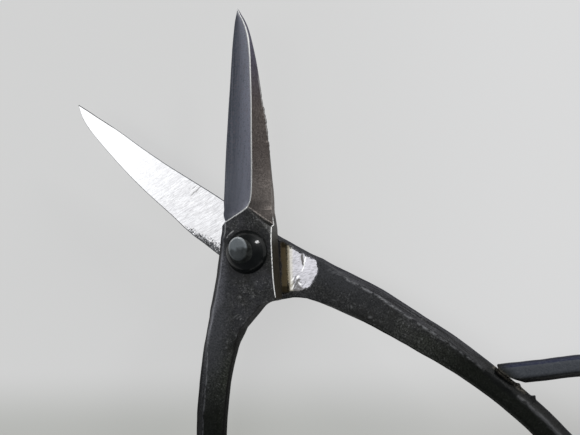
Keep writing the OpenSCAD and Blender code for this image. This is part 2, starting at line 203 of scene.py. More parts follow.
def block_section(left, right, mid, zr, zs, ze, blade, relief, nick=0.0):
    """Ring of a section through blade, neck or heel. Returns points and the masks on them."""
    w = np.linalg.norm(right - left)
    um = (mid - left[0]) / (right[0] - left[0])
    ut = np.concatenate([um * spread(N_LEFT), um + (1 - um) * spread(N_RIGHT)[1:]])
    p2 = left[None] + ut[:, None] * (right - left)[None]
    a, b = ut * w, (1 - ut) * w
    p2[:, 0] += nick * np.maximum(1 - b / 0.8, 0) ** 2
    am, bm = um * w, (1 - um) * w
    q = a / am
    z1 = relief + ze + (zr - ze) * np.where(q < 1, q - 0.22 * q * (1 - q), 1 + 1.1 * (q - 1))
    pq = b / bm
    z2 = relief + zs + (zr - zs) * np.where(pq < 1, pq + 0.10 * pq * (1 - pq), 1 + 0.95 * (pq - 1))
    zb = smin(z1, z2, 0.16)
    # neck: flat face, chamfered outer edge, inner edge broken and falling towards the spine
    cw, ch = 1.6, 2.0
    zn = smin(np.full_like(a, NECK_T), NECK_T - ch + a * ch / cw, 0.25)
    if blade:
        zsh = float(keyed(SHOULDER_Z[:, 0], SHOULDER_Z[:, 1], right[1]))
        zn = smin(zn, zsh + 0.95 * b, 0.5 if zsh < NECK_T - 0.1 else 0.02)
    r = 0.2
    zn = zn - np.where(b < r, r - np.sqrt(np.maximum(r * r - (r - b) ** 2, 0)), 0)
    dl = (p2[:, 1] - keyed(LEFT_STOP[:, 0], LEFT_STOP[:, 1], p2[:, 0]) + 0.6) * 0.88
    dr = (p2[:, 1] - keyed(RIGHT_STOP[:, 0], RIGHT_STOP[:, 1], p2[:, 0]) + 0.2) * 0.77
    dd = np.maximum(dl, dr)
    run = np.where(dl > dr, 0.20, 0.60)
    g = np.where(dl > dr, np.where(dd > 0, 1 - np.exp(-(np.maximum(dd, 0) / run) ** 1.4), 0.0), smoothstep(0.0, 0.45, dd))
    if not blade:
        g = g * 0
    zt = zn + (zb - zn) * g
    sharp = np.where(dd > 0, 1 - np.exp(-(np.maximum(dd, 0) / 0.15) ** 2), 0.0) * (1.0 if blade else 0.0)
    # bottom
    ub = spread(N_BOT)
    pb = left[None] + ub[:, None] * (right - left)[None]
    ab, bb = ub * w, (1 - ub) * w
    pb[:, 0] += nick * np.maximum(1 - bb / 0.8, 0) ** 2
    gb = smoothstep(6.0, 13.0, pb[:, 1]) if blade else np.zeros(N_BOT + 1)
    zbot = relief * gb + min(HOLLOW, 0.014 * w) * (1 - ((ab - bb) / w) ** 2)
    ed = np.minimum(ab, bb)
    rb = np.where(gb > 0.5, 0.05, 0.25)
    zbot = zbot + np.where(ed < rb, rb - np.sqrt(np.maximum(rb * rb - (rb - ed) ** 2, 0)), 0) * np.where(gb > 0.5, 0.6, 1.0)
    # rows of the ring: bottom left to right, right wall, top right to left, left wall
    wr = np.linspace(0, 1, N_WALL + 2)[1:-1]
    zt_r, zt_l = max(zt[-1], zbot[-1] + 0.03), max(zt[0], zbot[0] + 0.03)
    zt[-1], zt[0] = zt_r, zt_l
    ring = np.concatenate([
        np.column_stack([pb, zbot]),
        np.column_stack([np.repeat(right[None] + np.array([[nick, 0]]), N_WALL, 0), zbot[-1] + (zt_r - zbot[-1]) * wr]),
        np.column_stack([p2, zt])[::-1],
        np.column_stack([np.repeat(left[None], N_WALL, 0), zt_l + (zbot[0] - zt_l) * wr])])
    # masks: flat, bevel, facet, ridge line, stop line, inner edge, chamfer, edge line; the ridge, stop and inner-edge
    # lines are painted highlights
    nb, nt = N_BOT + 1, N_LEFT + N_RIGHT + 1
    m = np.zeros((len(ring), 8))
    # ground area of the inner flat as a soft field: 0.5 is its border, 4 mm from 0 to 1
    yb = np.interp(pb[:, 0], [-10.0, -8.9, -7.9, -6.6, -4.8, -2.5, -0.4, 1.2], [-13.6, -14.8, -16.0, -16.9, -17.0, -17.2, -16.0, -14.0])
    f = np.minimum(pb[:, 1] - yb, np.where(pb[:, 1] > 4, 9, np.minimum(ab - 0.35, bb - 0.5 - 1.0 * smoothstep(-8.0, -12.5, pb[:, 1]))))
    m[:nb, 0] = np.clip(0.5 + f / 4, 0, 1)
    if blade:                                            # dull line along the spine; the dark line along the cutting edge by the tip is painted shade of the edge's shadow side
        m[:nb, 0] *= 1 - smoothstep(12.0, 20.0, pb[:, 1]) * smoothstep(0.12, 0.05, bb)
        m[:nb, 0] *= 1 - smoothstep(40.0, 54.0, pb[:, 1]) * smoothstep(0.15 + 0.10 * smoothstep(48.0, 58.0, pb[:, 1]), 0.06, ab)
    top = slice(nb + N_WALL, nb + N_WALL + nt)
    left_of = (q < 1.0)
    m[top, 1] = (sharp * left_of)[::-1]
    late = smoothstep(0.36, 0.62, dd) * (1.0 if blade else 0.0)
    m[top, 2] = (late * (~left_of))[::-1]
    if blade:
        m[nb:nb + N_WALL, 2] = smoothstep(7.0, 10.0, right[1])
        # painted highlights: bright lines along the ridge, the stop line, the chamfer's upper edge and an arc near the
        # pivot
        m[top, 3] = (np.exp(-((a - am + 0.08) / 0.20) ** 2) * (dd > 0.0))[::-1]
        m[top, 4] = (np.exp(-((dl + 0.06) / (0.20 + 0.10 * smoothstep(-4.0, 0.5, p2[:, 0]))) ** 2) * (p2[:, 0] < 1.9) * smoothstep(0.7, 1.2, a))[::-1]
        spine = max(0.42 * smoothstep(30.0, 12.0, right[1]), 0.46 * smoothstep(24.0, 30.0, right[1]) * smoothstep(48.0, 42.0, right[1]),
                    0.95 * smoothstep(8.9, 7.7, right[1]))
        up = (1 - sharp) * smoothstep(3.2, 4.6, p2[:, 1])
        m[top, 4] = np.maximum(m[top, 4], (0.55 * np.exp(-((a - cw + 0.1) / 0.30) ** 2) * up)[::-1])
        rr, an = np.hypot(p2[:, 0] - 1.1, p2[:, 1]), np.degrees(np.arctan2(p2[:, 1], p2[:, 0] - 1.1))
        arc = np.exp(-((rr - 6.2) / 0.28) ** 2) * smoothstep(112, 122, an) * smoothstep(150, 140, an) * (1 - sharp)
        m[top, 4] = np.maximum(m[top, 4], 0.55 * arc[::-1])
    else:
        spine = 0.0
    # inner edge line: painted highlight along the neck's inner edge
    m[top, 5] = (smoothstep(0.155, 0.055, b) * np.maximum(1 - g, spine) * smoothstep(-11.7, -11.0, right[1]))[::-1]
    m[top, 6] = ((1 - sharp) * smoothstep(cw + 0.2, cw - 0.2, a))[::-1]
    m[-N_WALL:, 6] = 1.0 - (sharp[0] if blade else 0)
    m[top, 7] = (np.exp(-((a - cw) / 0.16) ** 2) * (1 - sharp))[::-1]
    m = np.column_stack([m, np.zeros((len(m), 2))])      # share of the bevel's width, brown inner wall
    m[top, 8] = q[::-1]
    m[nb:nb + N_WALL, 9] = smoothstep(9.0, 6.0, right[1]) * smoothstep(-12.6, -11.2, right[1])
    return ring, m


def rod_section(c, n2, w, thick, zc, p, slant, bulge, t2, bow, wide):
    """Ring of the rounded shank and bow, with a flatter band along the outer edge."""
    an = np.radians(np.concatenate([
        np.linspace(225, 315, N_BOT + 1), np.linspace(315, 405, N_WALL + 2)[1:-1],
        np.linspace(405, 495, N_LEFT + N_RIGHT + 1), np.linspace(495, 585, N_WALL + 2)[1:-1]]))
    e = 2.0 / p
    u = w / 2 * np.sign(np.cos(an)) * np.abs(np.cos(an)) ** e
    v = thick / 2 * np.sign(np.sin(an)) * np.abs(np.sin(an)) ** e
    # outer-edge facet on both faces
    low = wide[0] + (0.46 - wide[0]) * bow
    brk = low + (0.70 - low) * smoothstep(wide[1], -17.5, c[1]) * (1 - bow)      # where the facet starts
    lim = thick / 2 * (1 - 0.62 * np.clip((-u / (w / 2) - brk) / (1 - brk), 0, 1))
    v = np.sign(v) * smin(np.abs(v), lim, 0.25)
    lim2 = thick / 2 * (1 - 0.45 * np.clip((u / (w / 2) - 0.66) / 0.34, 0, 1))
    v = np.sign(v) * smin(np.abs(v), lim2, 0.25)
    push = slant * u + bulge * (1 - (2 * u / w) ** 2)
    ring = np.column_stack([c[0] + n2[0] * u + t2[0] * push, c[1] + n2[1] * u + t2[1] * push, zc + v])
    m = np.zeros((len(ring), 10))
    both = np.where(bow > 0.5, np.abs(u) - 0.22 * w / 2, -u) / (w / 2)
    m[:, 8] = 0.5 + u / w
    m[:, 6] = smoothstep(brk - 0.06, brk + 0.06, both)
    m[:, 7] = np.exp(-((-u / (w / 2) - brk) / (0.052 + 0.058 * smoothstep(-58, -68, c[1]))) ** 2) * (1 - bow)
    return ring, m


def build_lever(stations, neck, heel, shank, seed, nick):
    rings, masks = [], []
    keys = np.concatenate([neck[::-1, 0], stations[:, 0]])
    left_x = np.concatenate([neck[::-1, 1], stations[:, 1]])
    right_x = np.concatenate([neck[::-1, 2], stations[:, 3]])
    tip = stations[-1, 0]
    ys = np.concatenate([np.arange(tip, tip - 3, -0.1), np.arange(tip - 3, 13.0, -0.22),
                         np.arange(13.0, 5.0, -0.1), np.arange(5.0, -7.0, -0.25)])
    for y in ys:
        xl, xr = float(keyed(keys, left_x, y)), float(keyed(keys, right_x, y))
        yb = max(y, stations[0, 0])
        xm = float(keyed(stations[:, 0], stations[:, 2], yb))
        zr = float(keyed(stations[:, 0], stations[:, 4], yb)) * RIDGE_H
        zs = min(float(keyed(stations[:, 0], stations[:, 5], yb)), zr - 0.04)
        ze = min(0.16, zr * 0.45)
        chipped = 0.0
        if nick and 22 < y < 42:       # small forging nicks along the spine
            k = noise.noise(Vector((y * 0.9, seed, 0.3))) + 0.6 * noise.noise(Vector((y * 2.3, seed, 1.7)))
            chipped = 0.22 * k * float(smoothstep(22, 27, y) * (1 - smoothstep(37, 42, y)))
        r, m = block_section(np.array([xl, y]), np.array([xr, y]), xm, zr, zs, ze, True, RELIEF, chipped)
        rings.append(r)
        masks.append(m)
    # heel
    start = np.array([left_x[0], keys[0], right_x[0], keys[0]])
    path = catmull(np.vstack([shank, BOW]), 0.6)
    t0 = path[1, :2] - path[0, :2]
    pre = shank[0] - (shank[1] - shank[0])
    path = catmull(np.vstack([shank, BOW]), 0.6, lead=pre)
    tang = np.gradient(path[:, :2], axis=0)
    tang /= np.linalg.norm(tang, axis=1)[:, None]
    nrm = np.column_stack([-tang[:, 1], tang[:, 0]])
    first = np.concatenate([path[0, :2] - nrm[0] * path[0, 3] / 2, path[0, :2] + nrm[0] * path[0, 3] / 2])
    hp = catmull(np.vstack([start, heel, first]), 0.16)
    for row in hp[1:-1]:
        left, right = row[:2], row[2:]
        r, m = block_section(left, right, left[0] + 0.55 * (right[0] - left[0]), RIDGE_H, 1.5, 0.3, False, 0.0)
        rings.append(r)
        masks.append(m)
    # shank and bow
    seg = np.concatenate([[0], np.cumsum(np.linalg.norm(np.diff(path[:, :2], axis=0), axis=1))])
    total = seg[-1]
    for i, row in enumerate(path):
        f = seg[i] / total
        grow = smoothstep(0, 16.0, seg[i])
        thick = (NECK_T - 0.02) * (1 - grow) + grow * (5.6 + (4.9 - 5.6) * f ** 1.5)
        zc = NECK_T / 2 * (1 - row[2]) - FLAT_GAP / 2 * row[2]
        slant = TAIL_BEVEL * max(0.0, 1 - (total - seg[i]) / 10.0)
        r, m = rod_section(row[:2], nrm[i], row[3], thick, zc, row[4], slant, 1.2 * max(0.0, 1 - (total - seg[i]) / 6.0), tang[i], smoothstep(0.3, 0.45, f), (0.36, -33.0) if nick else (0.46, -62.0))
        if not nick and -80 < row[1] < -65 and f < 0.5:     # small burrs left beside the bow's free end
            k = 0.40 * math.exp(-((row[1] + 69.4) / 0.5) ** 2) + 0.62 * math.exp(-((row[1] + 73.5) / 0.42) ** 2)
            out = smoothstep(0.28, 0.48, -((r[:, :2] - row[:2]) @ nrm[i]) / row[3])
            r[:, :2] -= np.outer(out * k, nrm[i])
        mix = float(smoothstep(-1.0, 9.0, seg[i]))
        if mix < 1:
            left, right = row[:2] - nrm[i] * row[3] / 2, row[:2] + nrm[i] * row[3] / 2
            ra, ma = block_section(left, right, left[0] + 0.55 * (right[0] - left[0]), RIDGE_H, 1.5, 0.3, False, 0.0)
            r, m = ra + (r - ra) * mix, ma + (m - ma) * mix
        rings.append(r)
        masks.append(m)
    # rounded free end
    last = rings[-1]
    cen = last.mean(0)
    for s, push in ((0.90, 0.28), (0.70, 0.40), (0.35, 0.44)):
        r = cen + (last - cen) * s
        r[:, 0] += tang[-1, 0] * push * 0.7
        r[:, 1] += tang[-1, 1] * push * 0.7
        rings.append(r)
        masks.append(masks[-1])
    # centre of each cap
    v = np.concatenate(rings)
    m = np.concatenate(masks)
    n = len(rings[0])
    k = len(rings)
    head = rings[0].mean(0) + np.array([0, 0.04, 0])
    tail = rings[-1].mean(0)
    v = np.vstack([v, head, tail])
    m = np.vstack([m, m[:n].mean(0), m[-n:].mean(0)])
    i = np.arange(k - 1)[:, None] * n
    j = np.arange(n)[None]
    j2 = (j + 1) % n
    quads = np.stack([i + j, i + j2, i + n + j2, i + n + j], -1).reshape(-1, 4)
    faces = quads.tolist()
    faces += [[k * n, (jj + 1) % n, jj] for jj in range(n)]
    base = (k - 1) * n
    faces += [[k * n + 1, base + jj, base + (jj + 1) % n] for jj in range(n)]
    return v, m, faces


def forge(v, m, faces, seed):
    """Hammered unevenness on the scaled skin, left off the ground faces."""
    me = bpy.data.meshes.new("tmp")
    me.from_pydata(v.tolist(), [], faces)
    me.update()
    nrm = np.empty(len(v) * 3)
    me.vertex_normals.foreach_get("vector", nrm)
    nrm = nrm.reshape(-1, 3)
    bpy.data.meshes.remove(me)
    out = v.copy()
    off = np.zeros(len(v))
    for a, (p, mk) in enumerate(zip(v, m)):
        ground = max(1.0 if mk[0] > 0.05 else 0.0, mk[1], mk[2] * 0.7)
        k = 1.0 - ground
        if k < 0.02:
            continue
        if p[1] > 9:
            k *= 0.4
        q = Vector((p[0] + seed, p[1], p[2]))
        lo = noise.noise(q * 0.16) + 0.5 * noise.noise(q * 0.37)
        hi = noise.noise(q * 0.9) + 0.6 * noise.noise(q * 2.1)
        amp = 0.085 if p[1] < -9 else 0.03
        off[a] = k * (amp * lo + 0.016 * hi)
    return out + nrm * off[:, None], nrm


def place_front(v):
    return (v + np.array([FRONT_SHIFT[0], FRONT_SHIFT[1], Z_FRONT_IN])) * MM


def place_rear(v):
    x, y, z = -(v[:, 0] + REAR_SHIFT[0]), v[:, 1] + REAR_SHIFT[1], -v[:, 2]
    c, s = math.cos(OPEN), math.sin(OPEN)
    return np.column_stack([x * c - y * s, x * s + y * c, z + Z_MID - FLAT_GAP / 2]) * MM


def add_mesh(name, v, faces, smooth=True):
    me = bpy.data.meshes.new(name)
    me.from_pydata(np.asarray(v).tolist(), [], faces)
    me.update()
    if smooth:
        me.polygons.foreach_set("use_smooth", [True] * len(me.polygons))
    ob = bpy.data.objects.new(name, me)
    bpy.context.scene.collection.objects.link(ob)
    return ob


def add_colour(ob, name, rgb):
    at = ob.data.color_attributes.new(name, 'FLOAT_COLOR', 'POINT')
    data = np.ones((len(ob.data.vertices), 4), np.float32)
    data[:, :3] = rgb
    at.data.foreach_set("color", data.ravel())


def add_vector(ob, name, vec):
    at = ob.data.attributes.new(name, 'FLOAT_VECTOR', 'POINT')
    at.data.foreach_set("vector", np.asarray(vec, np.float32).ravel())


# ---------------------------------------------------------------- materials
class Graph:
    """Small helper for building node trees."""

    def __init__(self, name):
        self.mat = bpy.data.materials.new(name)
        self.mat.use_nodes = True
        self.t = self.mat.node_tree
        self.bsdf = self.t.nodes["Principled BSDF"]

    def link(self, a, b):
        self.t.links.new(a, b)

    def put(self, sock, val):
        if isinstance(val, bpy.types.NodeSocket):
            self.link(val, sock)
        elif isinstance(val, (tuple, list)) and len(val) == 3 and sock.type == 'RGBA':
            sock.default_value = (*val, 1.0)
        else:
            sock.default_value = val

    def attr(self, name, out="Color"):
        n = self.t.nodes.new("ShaderNodeAttribute")
        n.attribute_name = name
        return n.outputs[out]

    def split(self, col):
        n = self.t.nodes.new("ShaderNodeSeparateColor")
        self.link(col, n.inputs[0])
        return n.outputs[0], n.outputs[1], n.outputs[2]

    def mapping(self, vec, scale=(1, 1, 1), rot=(0, 0, 0), loc=(0, 0, 0)):
        n = self.t.nodes.new("ShaderNodeMapping")
        self.link(vec, n.inputs["Vector"])
        n.inputs["Scale"].default_value = scale
        n.inputs["Rotation"].default_value = rot
        n.inputs["Location"].default_value = loc
        return n.outputs[0]

    def along(self, vec, angle, scale, loc=(0, 0, 0)):
        """Coordinates turned so that their x runs at the given angle, then stretched."""
        return self.mapping(self.mapping(vec, rot=(0, 0, -math.radians(angle))), scale=scale, loc=loc)

    def noise(self, vec, scale, detail=4.0, rough=0.55, dist=0.0):
        n = self.t.nodes.new("ShaderNodeTexNoise")
        self.link(vec, n.inputs["Vector"])
        n.inputs["Scale"].default_value = scale
        n.inputs["Detail"].default_value = detail
        n.inputs["Roughness"].default_value = rough
        n.inputs["Distortion"].default_value = dist
        return n.outputs["Fac"]

    def math(self, op, a, b=0.0, c=0.0, clamp=False):
        n = self.t.nodes.new("ShaderNodeMath")
        n.operation = op
        n.use_clamp = clamp
        for i, x in enumerate((a, b, c)):
            if i < len(n.inputs):
                self.put(n.inputs[i], x)
        return n.outputs[0]

    def ramp(self, fac, lo, hi, a=0.0, b=1.0):
        n = self.t.nodes.new("ShaderNodeMapRange")
        n.clamp = True
        n.interpolation_type = 'SMOOTHSTEP'
        self.put(n.inputs["Value"], fac)
        n.inputs["From Min"].default_value = lo
        n.inputs["From Max"].default_value = hi
        n.inputs["To Min"].default_value = a
        n.inputs["To Max"].default_value = b
        return n.outputs["Result"]

    def mixc(self, fac, a, b):
        n = self.t.nodes.new("ShaderNodeMix")
        n.data_type = 'RGBA'
        self.put(n.inputs[0], fac)
        self.put(n.inputs[6], a)
        self.put(n.inputs[7], b)
        return n.outputs[2]

    def mixf(self, fac, a, b):
        n = self.t.nodes.new("ShaderNodeMix")
        n.data_type = 'FLOAT'
        self.put(n.inputs[0], fac)
        self.put(n.inputs[2], a)
        self.put(n.inputs[3], b)
        return n.outputs[0]

    def bump(self, height, dist, strength=1.0, normal=None):
        n = self.t.nodes.new("ShaderNodeBump")
        self.link(height, n.inputs["Height"])
        n.inputs["Distance"].default_value = dist
        n.inputs["Strength"].default_value = strength
        if normal is not None:
            self.link(normal, n.inputs["Normal"])
        return n.outputs[0]


def lever_material(name, rear):
    """Forged and ground steel of one lever; each lever has its own marks."""
    g = Graph(name)
    other = 1.0 if rear else 0.0
    lev = g.attr("lev", "Vector")
    flat, bevel, facet = g.split(g.attr("ground"))
    ridge_highlight, stop_highlight, nedge_highlight = g.split(g.attr("highlight_lines"))
    chamf, cline, smudge = g.split(g.attr("wear"))
    share, inner, wall_shade = g.split(g.attr("place"))
    xyz = g.t.nodes.new("ShaderNodeSeparateXYZ")
    g.link(lev, xyz.inputs[0])
    along = xyz.outputs[1]

    k3 = g.noise(g.mapping(lev, loc=(9, 2, 5)), 0.35, 4, 0.6)

    def stroke(x0, y0, x1, y1, half, amount, wave=1.6):
        """Soft straight scratch between two points of the lever's plan."""
        an, ln = math.atan2(y1 - y0, x1 - x0), math.hypot(x1 - x0, y1 - y0)
        c, sn = math.cos(an), math.sin(an)
        p = g.mapping(lev, rot=(0, 0, -an), loc=(-(x0 * c + y0 * sn), x0 * sn - y0 * c, 0))
        q = g.t.nodes.new("ShaderNodeSeparateXYZ")
        g.link(p, q.inputs[0])
        off = g.math('ABSOLUTE', g.math('ADD', q.outputs[1], g.math('MULTIPLY', g.math('SUBTRACT', k3, 0.5), wave)))
        body = g.math('MULTIPLY', g.ramp(off, half * 1.5, half * 0.5), g.ramp(q.outputs[0], -0.3, 0.3))
        return g.math('MULTIPLY', g.math('MULTIPLY', body, g.ramp(q.outputs[0], ln + 0.3, ln - 0.3)), amount)

    # black forge scale: grain, brown patches, light specks and chips
    n1 = g.noise(lev, 0.55, 6, 0.6)
    n2 = g.noise(lev, 2.4, 4, 0.6)
    n3 = g.noise(g.mapping(lev, loc=(17, 5, 2)), 0.16, 3, 0.5)
    n4 = g.noise(g.mapping(lev, loc=(3, 31, 8)), 0.9, 3, 0.6)
    n5 = g.noise(g.mapping(lev, loc=(8, 3, 12)), 1.5, 2, 0.7)
    scale_c = g.mixc(g.ramp(n2, 0.39, 0.61), (0.0125, 0.0126, 0.0116), (0.074, 0.074, 0.070))
    scale_c = g.mixc(g.ramp(n5, 0.58, 0.70, 0, 0.85), scale_c, (0.140, 0.139, 0.136))
    scale_c = g.mixc(g.ramp(n5, 0.40, 0.28, 0, 0.5), scale_c, (0.016, 0.016, 0.0145))
    scale_c = g.mixc(g.ramp(n3, 0.48, 0.70, 0, 0.6), scale_c, (0.026, 0.0245, 0.018))
    scale_c = g.mixc(g.ramp(n1, 0.55, 0.38, 0, 0.45), scale_c, (0.0135, 0.0145, 0.0165))
    scale_c = g.mixc(g.ramp(n1, 0.52, 0.68, 0, 0.40), scale_c, (0.092, 0.090, 0.086))
    tail = g.ramp(xyz.outputs[0], -17.0, -20.0)
    down = g.math('ADD', along, 17.0 * other)
    olive = g.math('MULTIPLY', g.math('MULTIPLY', g.ramp(down, -15.0, -30.0), g.ramp(share, 0.30, 0.50)), g.math('SUBTRACT', 1.0, tail))
    scale_c = g.mixc(g.math('MULTIPLY', olive, g.ramp(n3, 0.36, 0.60, 0.75, 0.35)), scale_c, g.mixc(g.ramp(n2, 0.40, 0.60), (0.0125, 0.0145, 0.0080), (0.072, 0.078, 0.057)))
    speck = g.math('MULTIPLY', g.ramp(n2, 0.57, 0.66), g.ramp(n1, 0.47, 0.58))
    scale_c = g.mixc(g.math('MULTIPLY', speck, 0.85), scale_c, (0.25, 0.25, 0.247))
    chip = g.math('MULTIPLY', g.ramp(n4, 0.675, 0.71), g.ramp(n2, 0.40, 0.55))
    scale_c = g.mixc(chip, scale_c, (0.30, 0.30, 0.295))
    # single pits and scratches: x, y, x, y, half width, strength (front outer face, then rear inner face)
    pits_f = ((-1.2, -10.9, -1.0, -10.7, 0.30, 1.0), (-3.0, -4.75, -2.9, -4.6, 0.22, 0.5), (6.6, -7.5, 6.65, -7.3, 0.22, 0.6),
              (-5.7, -23.0, -5.45, -22.9, 0.26, 0.8), (-8.5, -28.9, -8.4, -28.8, 0.26, 0.6), (-3.1, -15.7, -2.0, -15.0, 0.11, 0.5),
              (-2.35, -16.0, -1.05, -15.15, 0.10, 0.5), (0.0, -7.0, 0.1, -6.9, 0.2, 0.4))
    pits_r = ((-6.35, -19.8, -5.85, -20.0, 0.16, 0.6), (-7.2, -24.9, -7.05, -25.0, 0.2, 0.45), (-4.5, -24.1, -4.1, -23.5, 0.16, 0.5),
              (-6.1, -28.0, -5.7, -28.5, 0.24, 0.75), (-6.7, -33.0, -7.2, -33.8, 0.26, 0.8), (-8.6, -34.0, -8.8, -34.1, 0.24, 0.45),
              (-7.5, -38.1, -7.6, -38.3, 0.22, 0.5))
    hit = None
    for p in (pits_r if rear else pits_f):
        one = stroke(*p, wave=0.5)
        hit = one if hit is None else g.math('MAXIMUM', hit, one)
    scale_c = g.mixc(hit, scale_c, (0.27, 0.27, 0.268))
    haze = g.noise(g.mapping(lev, loc=(40, 11, 6)), 0.22, 3, 0.6)
    scale_c = g.mixc(g.math('MULTIPLY', g.ramp(haze, 0.40, 0.66), g.ramp(along, -30.0, -6.0, 0.1, 0.40)), scale_c, (0.066, 0.064, 0.079))
    blue = g.math('MULTIPLY', g.ramp(along, -4.0, -8.0), g.math('MULTIPLY', g.ramp(along, -40.0, -20.0), g.ramp(g.math('SUBTRACT', xyz.outputs[0], g.math('MULTIPLY', along, 0.22)), 0.8, -4.0, 0, 0.9)))
    scale_c = g.mixc(g.math('MULTIPLY', blue, g.ramp(n2, 0.3, 0.6, 0.4, 1.0)), scale_c, (0.088, 0.090, 0.100))
    dull = g.math('MULTIPLY', g.ramp(down, -24.0, -43.0), g.math('SUBTRACT', 1.0, tail))
    scale_c = g.mixc(g.math('MULTIPLY', dull, 0.88), scale_c, (0.0062, 0.0078, 0.0050))
    # free end of the bow: painted shade along its lower side, bluish grey above
    scale_c = g.mixc(g.math('MULTIPLY', tail, 0.8), scale_c, g.mixc(g.ramp(share, 0.20, 0.44), (0.0045, 0.0048, 0.0050), g.mixc(n2, (0.086, 0.094, 0.110), (0.140, 0.152, 0.175))))
    if rear:
        dim = g.math('MULTIPLY', g.ramp(along, -12.0, -20.0), g.ramp(along, -46.0, -34.0))
        scale_c = g.mixc(g.math('MULTIPLY', dim, 0.35), scale_c, (0.012, 0.0125, 0.0115))
    scale_r = g.mixf(n2, 0.62, 0.40)
    # skin darker in a ring around the washer
    near = g.t.nodes.new("ShaderNodeVectorMath")
    near.operation = 'LENGTH'
    g.link(g.mapping(lev, scale=(1, 1, 0), loc=(-1.1, 0, 0)), near.inputs[0])
    washer_ring_dark = g.ramp(near.outputs["Value"], 7.4, 5.2)
    scale_c = g.mixc(g.math('MULTIPLY', washer_ring_dark, 0.45), scale_c, (0.0075, 0.0080, 0.0070))
    # outer chamfers: bluish, rubbed, with a chipped line where they meet the face
    rub_n = g.noise(g.along(lev, 90, (0.4, 1.2, 1.0)), 1.4, 5, 0.62)
    bow = g.ramp(along, -56.0, -66.0)
    rub = g.math('MULTIPLY', chamf, g.ramp(rub_n, 0.25, 0.62, 0.45, 1.0))
    run = g.t.nodes.new("ShaderNodeCombineXYZ")
    g.link(g.math('MULTIPLY', share, 26.0), run.inputs[0])
    g.link(g.math('MULTIPLY', along, 0.07), run.inputs[1])
    run.inputs[2].default_value = other
    grooves = g.noise(run.outputs[0], 1.0, 3, 0.6)
    rub_c = g.mixc(bow, g.mixc(g.ramp(grooves, 0.42, 0.60), (0.008, 0.008, 0.010), (0.066, 0.066, 0.073)), g.mixc(tail, (0.0105, 0.0100, 0.0090), g.mixc(g.ramp(share, 0.4, 0.6), (0.0035, 0.0038, 0.0046), (0.022, 0.026, 0.060))))
    rub_c = g.mixc(g.math('MULTIPLY', g.ramp(along, -36.0, -12.0), g.ramp(n2, 0.38, 0.62, 0.04 if rear else 0.34, 0.08 if rear else 0.75)), rub_c, (0.155, 0.155, 0.180))
    rub_c = g.mixc(g.math('MULTIPLY', dull, 0.55), rub_c, (0.016, 0.0165, 0.0175))
    if not rear:
        fleck = g.math('MULTIPLY', g.ramp(g.noise(g.mapping(lev, loc=(9, 2, 5)), 2.1, 3, 0.7), 0.57, 0.66), g.ramp(along, -44.0, -30.0))
        rub_c = g.mixc(g.math('MULTIPLY', fleck, 0.75), rub_c, (0.36, 0.36, 0.40))
    scale_c = g.mixc(g.math('MULTIPLY', rub, 0.92), scale_c, rub_c)
    if not rear:
        fade = g.math('MULTIPLY', g.math('MULTIPLY', g.ramp(share, 0.50, 0.19), g.ramp(share, 0.13, 0.20)), g.math('MULTIPLY', g.ramp(along, 3.0, -2.5), g.ramp(along, -22.0, -15.0)))
        scale_c = g.mixc(g.math('MULTIPLY', fade, g.ramp(n2, 0.36, 0.62, 0.35, 1.0)), scale_c, (0.235, 0.233, 0.258))
        seam = g.math('MULTIPLY', cline, g.math('MULTIPLY', g.ramp(along, 1.0, -1.0), g.ramp(along, -24.0, -18.0)))
        scale_c = g.mixc(g.math('MULTIPLY', seam, g.ramp(n2, 0.36, 0.58, 0.40, 1.0)), scale_c, (0.56, 0.56, 0.61))
        scale_c = g.mixc(g.math('MULTIPLY', g.math('MULTIPLY', g.ramp(share, 0.15, 0.09), chamf), 0.90), scale_c, (0.0070, 0.0070, 0.0085))
    # painted shade: steep side walls darkened, with a navy tint on the chamfer walls
    scale_c = g.mixc(g.math('MULTIPLY', wall_shade, g.mixf(chamf, 0.9, 0.7)), scale_c, g.mixc(chamf, (0.0040, 0.0042, 0.0035), (0.0085, 0.0090, 0.0160)))
    dash = g.t.nodes.new("ShaderNodeCombineXYZ")
    g.link(g.math('MULTIPLY', share, 9.0), dash.inputs[0])
    g.link(g.math('MULTIPLY', along, 0.42), dash.inputs[1])
    dash.inputs[2].default_value = 3.0 + other
    edge_chip = g.math('MULTIPLY', cline, g.ramp(g.noise(dash.outputs[0], 1.2, 4, 0.68), 0.42, 0.58))
    scale_c = g.mixc(g.math('MULTIPLY', edge_chip, 0.85), scale_c, g.mixc(g.math('MULTIPLY', dull, 0.7), (0.36, 0.36, 0.37), (0.06, 0.06, 0.062)))
    # painted highlight: a lighter streak along the chamfer line low on the bow
    highlight_streak = g.math('MULTIPLY', g.math('MULTIPLY', cline, g.ramp(along, -70.5, -76.0)), g.ramp(rub_n, 0.30, 0.55, 0.35, 0.9))
    scale_c = g.mixc(highlight_streak, scale_c, (0.105, 0.105, 0.108))
    shade = g.math('MULTIPLY', g.math('MULTIPLY', g.ramp(g.math('ADD', share, 0.035 * other), 0.965, 0.990), g.ramp(along, -28.0, -34.0)), g.math('SUBTRACT', 1.0, tail))
    scale_c = g.mixc(g.math('MULTIPLY', shade, 0.94), scale_c, (0.0035, 0.0038, 0.0032))
    if rear:
        # beside the tail's end: a dark stroke along the shank, and a lighter stroke at the shank's edge that is painted
        # light lifting the tail's cast shadow there
        scale_c = g.mixc(stroke(-15.3, -61.5, -15.2, -70.5, 1.05, 0.85, wave=1.6), scale_c, (0.0065, 0.0072, 0.0068))
        scale_c = g.mixc(stroke(-16.95, -62.5, -17.0, -71.5, 0.5, 0.9, wave=0.5), scale_c, g.mixc(g.ramp(n2, 0.38, 0.60), (0.040, 0.036, 0.029), (0.205, 0.184, 0.152)))
    scale_c = g.mixc(inner, scale_c, g.mixc(g.ramp(along, 0.5, 6.0), g.mixc(n1, (0.0150, 0.0135, 0.0100), (0.0500, 0.0440, 0.0335)), g.mixc(n2, (0.062, 0.060, 0.057), (0.115, 0.113, 0.109))))
    scale_m = g.math('MULTIPLY', g.math('MAXIMUM', g.math('MAXIMUM', speck, chip), edge_chip), 0.4)

